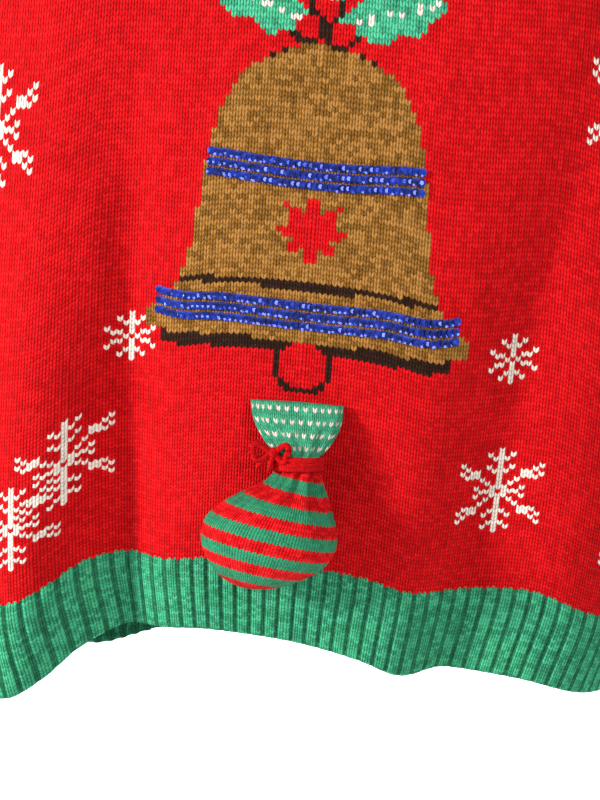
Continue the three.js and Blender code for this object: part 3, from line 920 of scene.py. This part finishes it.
def add_sequin(bm, centre, facing, along_strand, radius, tilt):
    """One cupped sequin: a small ring inside a larger one, lifted at its rim, and lapped over the next."""
    facing, along_strand = Vector(facing), Vector(along_strand)
    side = facing.cross(along_strand).normalized()
    turn = Matrix.Rotation(tilt[0], 3, side) @ Matrix.Rotation(tilt[1], 3, along_strand)
    z = (turn @ facing).normalized()
    x = (turn @ along_strand).normalized()
    y = z.cross(x).normalized()
    centre = Vector(centre)
    rings = []
    for share, lift in ((1.0, 0.55), (0.5, 0.12)):
        turns = (2 * math.pi * k / 10 for k in range(10))
        rings.append([
            bm.verts.new((centre + (x * math.cos(a) + y * math.sin(a)) * radius * share + z * lift) * MM)
            for a in turns])
    for k in range(10):
        n = (k + 1) % 10
        bm.faces.new((rings[0][k], rings[0][n], rings[1][n], rings[1][k]))
    bm.faces.new(rings[1])


class VEST_OT_sequins(bpy.types.Operator):
    """Sew the two bands of sequins, three strands each"""

    bl_idname = "vest.sequins"
    bl_label = "Sequins"

    def execute(self, context):
        sizes = context.scene.vest_sizes
        chance = random.Random(7)
        finish = sequin_material()
        for name, level, half, droop, deep in SEQUIN_BANDS:
            bm = bmesh.new()
            for strand in range(STRANDS):
                up = (strand - (STRANDS - 1) / 2) * (deep - 2 * STRAND_MARGIN) / (STRANDS - 1)
                steps = int(2 * (half - END_MARGIN) * MM / sizes.sequin_step)
                for k in range(steps + 1):
                    x = -half + END_MARGIN + 2 * (half - END_MARGIN) * k / steps
                    at_level = level - droop * (1 - (x / half) ** 2) + up
                    at, facing = front_point(x, at_level)
                    after, _ = front_point(x + 1.0, level - droop * (1 - ((x + 1.0) / half) ** 2) + up)
                    tilt = (0.2 + chance.uniform(-0.12, 0.12), chance.uniform(-0.16, 0.16))
                    add_sequin(
                        bm, at + facing * SEQUIN_STAND, facing, after - at, sizes.sequin_size / MM / 2, tilt)
            mesh = bpy.data.meshes.new(name)
            bm.to_mesh(mesh)
            bm.free()
            turn_out(mesh, outward("front"))
            piece = add_piece("sequins_" + name.rsplit("_", 1)[1], mesh, [finish], [name])
            for polygon in mesh.polygons:
                polygon.use_smooth = False
        return {"FINISHED"}


# ---- The stuffed ornament ---------------------------------------------------
FRONT_Y = -float(cloth_row("front", -500.0, np.array([0.0]))[0, 1])
# z, x, half the width, half the depth, distance of the middle from the cloth
CUFF = ((-504, 1, 12.5, 7.5, 14), (-497, 0, 18, 7, 12), (-486, -1, 25, 5, 8.5), (-475, -2, 27, 3.2, 4))
BALL = (
    (-584, -18.5, 6, 4, 15), (-580, -18, 17, 10, 17), (-573, -17, 27, 15, 20), (-563, -15, 35, 18.5, 23),
    (-551, -12, 38, 19.5, 23.5), (-539, -8, 34, 18, 22), (-529, -4, 25, 15, 20), (-521, 0, 16, 10, 16.5),
    (-513, 2, 12, 7.5, 15),
)


def stuffed_form(name, sections, around, rows, pleat, levels, tilt):
    """A stuffed form: a globe drawn to a table of sections, with pleats where it is gathered."""
    bm = bmesh.new()
    bmesh.ops.create_uvsphere(bm, u_segments=around, v_segments=rows, radius=1.0)
    low, high = levels
    for vert in bm.verts:
        polar = math.acos(max(-1, min(1, -vert.co.z))) / math.pi
        turn = math.atan2(vert.co.y, vert.co.x)
        z = low + (high - low) * polar
        x, wide, deep, stand = (float(along(sections, k, z)) for k in (1, 2, 3, 4))
        pole = min(1.0, polar / 0.02, (1 - polar) / 0.02)
        ripple = 1 + pleat(z) * math.cos(turn * 11 + 0.6 * math.sin(turn * 3))
        x += wide * ripple * math.cos(turn) * pole
        y = -FRONT_Y - stand + deep * ripple * math.sin(turn) * pole
        vert.co = Vector((x, y, z - tilt * (x + 10) * math.sin(math.pi * polar))) * MM
    mesh = bpy.data.meshes.new(name)
    bm.to_mesh(mesh)
    bm.free()
    uv = mesh.uv_layers.new(name="Stitches")
    for polygon in mesh.polygons:
        turns = []
        for loop in polygon.loop_indices:
            at = mesh.vertices[mesh.loops[loop].vertex_index].co / MM
            x, wide, deep, stand = (float(along(sections, k, at.z)) for k in (1, 2, 3, 4))
            turns.append(math.atan2((at.y + FRONT_Y + stand) / deep, (at.x - x) / wide))
        if max(turns) - min(turns) > math.pi:
            turns = [t + 2 * math.pi if t < 0 else t for t in turns]
        for loop, t in zip(polygon.loop_indices, turns):
            at = mesh.vertices[mesh.loops[loop].vertex_index].co / MM
            uv.uv[loop].vector = (t / (2 * math.pi) * 62, (at.z + tilt * (at.x + 10)) / 2.35)
    return mesh


def yarn_tube(bm, points, radius, sides=8):
    """A length of thick yarn along a closed or open list of points, in millimetres."""
    closed_path = (Vector(points[0]) - Vector(points[-1])).length < 1e-6
    path = [Vector(p) for p in (points[:-1] if closed_path else points)]
    rings = []
    for k, at in enumerate(path):
        before = path[k - 1] if k or closed_path else at
        after = path[(k + 1) % len(path)] if k + 1 < len(path) or closed_path else at
        along_path = (after - before).normalized()
        side = along_path.cross(Vector((0.13, 0.2, 1))).normalized()
        up = side.cross(along_path)
        taper = 1.0 if closed_path else min(1.0, 0.45 + 0.55 * min(k, len(path) - 1 - k))
        ring = [bm.verts.new((at + (side * math.cos(a) + up * math.sin(a)) * radius * taper) * MM)
                for a in (2 * math.pi * i / sides for i in range(sides))]
        rings.append(ring)
    count = len(rings) if closed_path else len(rings) - 1
    for k in range(count):
        a, b = rings[k], rings[(k + 1) % len(rings)]
        for i in range(sides):
            n = (i + 1) % sides
            bm.faces.new((a[i], a[n], b[n], b[i]))
    if not closed_path:
        bm.faces.new(rings[0][::-1])
        bm.faces.new(rings[-1])


class VEST_OT_ornament(bpy.types.Operator):
    """Stuff and tie the hanging ornament"""

    bl_idname = "vest.ornament"
    bl_label = "Ornament"

    def execute(self, context):
        def ball_pleat(z):
            return 0.12 * float(ease((z + 536) / 16))

        def cuff_pleat(z):
            return 0.10 * float(ease((-482 - z) / 18)) + 0.02

        ball = stuffed_form("ornament_ball_knit", BALL, 144, 90, ball_pleat, (-584.0, -511.0), 0.16)
        piece = add_piece("ornament_ball_knit", ball, [yarn("striped")], ["ornament_ball"])
        cuff = stuffed_form("ornament_cuff_knit", CUFF, 96, 40, cuff_pleat, (-506.0, -475.0), 0.0)
        piece = add_piece("ornament_cuff_knit", cuff, [yarn("cuff")], ["ornament_cuff"])

        bm = bmesh.new()
        middle = (1.5, -FRONT_Y - 14.5)
        for k, z in enumerate((-505.4, -508.6, -511.6)):
            loop = [(middle[0] + 13.6 * math.cos(a), middle[1] + 8.6 * math.sin(a),
                     z + 0.9 * math.sin(a + k))
                    for a in (2 * math.pi * i / 32 for i in range(33))]
            loop[-1] = loop[0]
            yarn_tube(bm, loop, 1.9)
        knot = (-13.0, middle[1] - 6.5, -503.0)
        for reach, lift, thick in ((-13, 7, 1.9), (9, 8, 1.8)):
            loop = [(knot[0] + reach * math.sin(math.pi * s) ** 0.8 * (1 if s < 0.5 else 0.86),
                     knot[1] - 2.2 * math.sin(math.pi * s), knot[2] + lift * math.sin(2 * math.pi * s) * 0.62)
                    for s in (i / 20 for i in range(21))]
            loop[-1] = loop[0]
            yarn_tube(bm, loop, thick)
        for drop_x, drop_z in ((-9, -9), (-2, -11)):
            tail = [(knot[0] + drop_x * s, knot[1] - 1.5 * s, knot[2] + drop_z * s ** 1.2)
                    for s in (i / 8 for i in range(9))]
            yarn_tube(bm, tail, 1.5)
        lump = bmesh.ops.create_icosphere(bm, subdivisions=3, radius=3.2 * MM)
        bmesh.ops.translate(bm, verts=lump["verts"], vec=Vector(knot) * MM)
        bmesh.ops.recalc_face_normals(bm, faces=bm.faces)
        mesh = bpy.data.meshes.new("ornament_tie_yarn")
        bm.to_mesh(mesh)
        bm.free()
        uv = mesh.uv_layers.new(name="Stitches")
        for loop in mesh.loops:
            at = mesh.vertices[loop.vertex_index].co / MM
            uv.uv[loop.index].vector = ((at.x + at.y) / 1.6, (at.z + at.x * 0.5) / 1.2)
        add_piece("ornament_tie_yarn", mesh, [yarn("yarn")], ["ornament_tie"])
        return {"FINISHED"}


# ---- Stage ------------------------------------------------------------------
CAMERA_AIM = Vector((0.0, -66.0, -475.0)) * MM
CAMERA_AWAY = 0.75
CAMERA_TILT = math.radians(7)
CAMERA_ROLL = math.radians(4)
FRAMED_LONG_SIDE = 0.465  # what the frame's longer side takes in at the aim, in metres


def area_light(name, at, aim, size, power, colour=(1, 1, 1)):
    data = bpy.data.lights.new(name, "AREA")
    data.shape = "DISK"
    data.size = size
    data.energy = power
    data.color = colour
    lamp = bpy.data.objects.new(name, data)
    lamp.location = at
    lamp.rotation_euler = (Vector(aim) - Vector(at)).to_track_quat("-Z", "Y").to_euler()
    bpy.context.scene.collection.objects.link(lamp)


class VEST_OT_stage(bpy.types.Operator):
    """Set the backdrop, the lights and the camera"""

    bl_idname = "vest.stage"
    bl_label = "Stage"

    def execute(self, context):
        bm = bmesh.new()
        bmesh.ops.create_grid(bm, x_segments=1, y_segments=1, size=6.0)
        far = [e for e in bm.edges if all(v.co.y > 0 for v in e.verts)]
        risen = bmesh.ops.extrude_edge_only(bm, edges=far)
        bmesh.ops.translate(
            bm, verts=[g for g in risen["geom"] if isinstance(g, bmesh.types.BMVert)], vec=(0, 0, 7))
        bmesh.ops.bevel(
            bm, geom=far, offset=1.5, segments=12, profile=0.5, affect="EDGES", material=-1)
        bmesh.ops.translate(bm, verts=bm.verts, vec=(0, -2.5, -1.7))
        bmesh.ops.recalc_face_normals(bm, faces=bm.faces)
        mesh = bpy.data.meshes.new("backdrop")
        bm.to_mesh(mesh)
        bm.free()
        for polygon in mesh.polygons:
            polygon.use_smooth = True
        paper = bpy.data.materials.new("matt white paper")
        paper.use_nodes = True
        shader = paper.node_tree.nodes["Principled BSDF"]
        shader.inputs["Base Color"].default_value = (0.95, 0.95, 0.95, 1)
        shader.inputs["Roughness"].default_value = 0.95
        mesh.materials.append(paper)
        floor = bpy.data.objects.new("backdrop", mesh)
        context.scene.collection.objects.link(floor)

        world = bpy.data.worlds.new("studio")
        world.use_nodes = True
        world.node_tree.nodes["Background"].inputs[0].default_value = (1, 1, 1, 1)
        world.node_tree.nodes["Background"].inputs[1].default_value = 0.34
        context.scene.world = world
        area_light("key", (-1.7, -0.8, -0.1), CAMERA_AIM, 0.35, 50)
        area_light("fill", (0.9, -1.7, 0.3), CAMERA_AIM, 1.0, 20)
        area_light("paper", (0.0, 1.6, 1.6), (0.0, 4.0, -0.8), 2.0, 190)
        context.scene.view_settings.view_transform = "Standard"

        data = bpy.data.cameras.new("camera")
        data.lens = data.sensor_width * CAMERA_AWAY / FRAMED_LONG_SIDE
        data.clip_end = 30
        camera = bpy.data.objects.new("camera", data)
        ahead = Vector((0, math.cos(CAMERA_TILT), -math.sin(CAMERA_TILT)))
        level_up = Vector((1, 0, 0)).cross(ahead)
        right = Vector((1, 0, 0)) * math.cos(CAMERA_ROLL) + level_up * math.sin(CAMERA_ROLL)
        up = right.cross(ahead)
        turn = Matrix((right, up, -ahead)).transposed()
        camera.matrix_world = Matrix.Translation(CAMERA_AIM - ahead * CAMERA_AWAY) @ turn.to_4x4()
        context.scene.collection.objects.link(camera)
        context.scene.camera = camera
        return {"FINISHED"}


class VEST_PT_panel(bpy.types.Panel):
    """Lists the vest's pieces and sizes"""

    bl_idname = "VEST_PT_panel"
    bl_label = "Vest"
    bl_space_type = "VIEW_3D"
    bl_region_type = "UI"
    bl_category = "Vest"

    def draw(self, context):
        for group in (context.scene.vest_sizes, context.scene.vest_colours):
            for key in group.__annotations__:
                self.layout.prop(group, key)
        for operator in OPERATORS:
            self.layout.operator(operator.bl_idname)


OPERATORS = (
    VEST_OT_stage, VEST_OT_front, VEST_OT_back, VEST_OT_hem, VEST_OT_bands, VEST_OT_sequins,
    VEST_OT_ornament,
)
CLASSES = (VestSizes, VestColours) + OPERATORS + (VEST_PT_panel,)


def register():
    for cls in CLASSES:
        bpy.utils.register_class(cls)
    bpy.types.Scene.vest_sizes = bpy.props.PointerProperty(type=VestSizes)
    bpy.types.Scene.vest_colours = bpy.props.PointerProperty(type=VestColours)


def unregister():
    del bpy.types.Scene.vest_colours
    del bpy.types.Scene.vest_sizes
    for cls in reversed(CLASSES):
        bpy.utils.unregister_class(cls)


def main():
    register()
    bpy.ops.vest.stage()
    bpy.ops.vest.front()
    bpy.ops.vest.back()
    bpy.ops.vest.hem()
    bpy.ops.vest.bands()
    bpy.ops.vest.sequins()
    bpy.ops.vest.ornament()


if __name__ == "__main__":
    main()
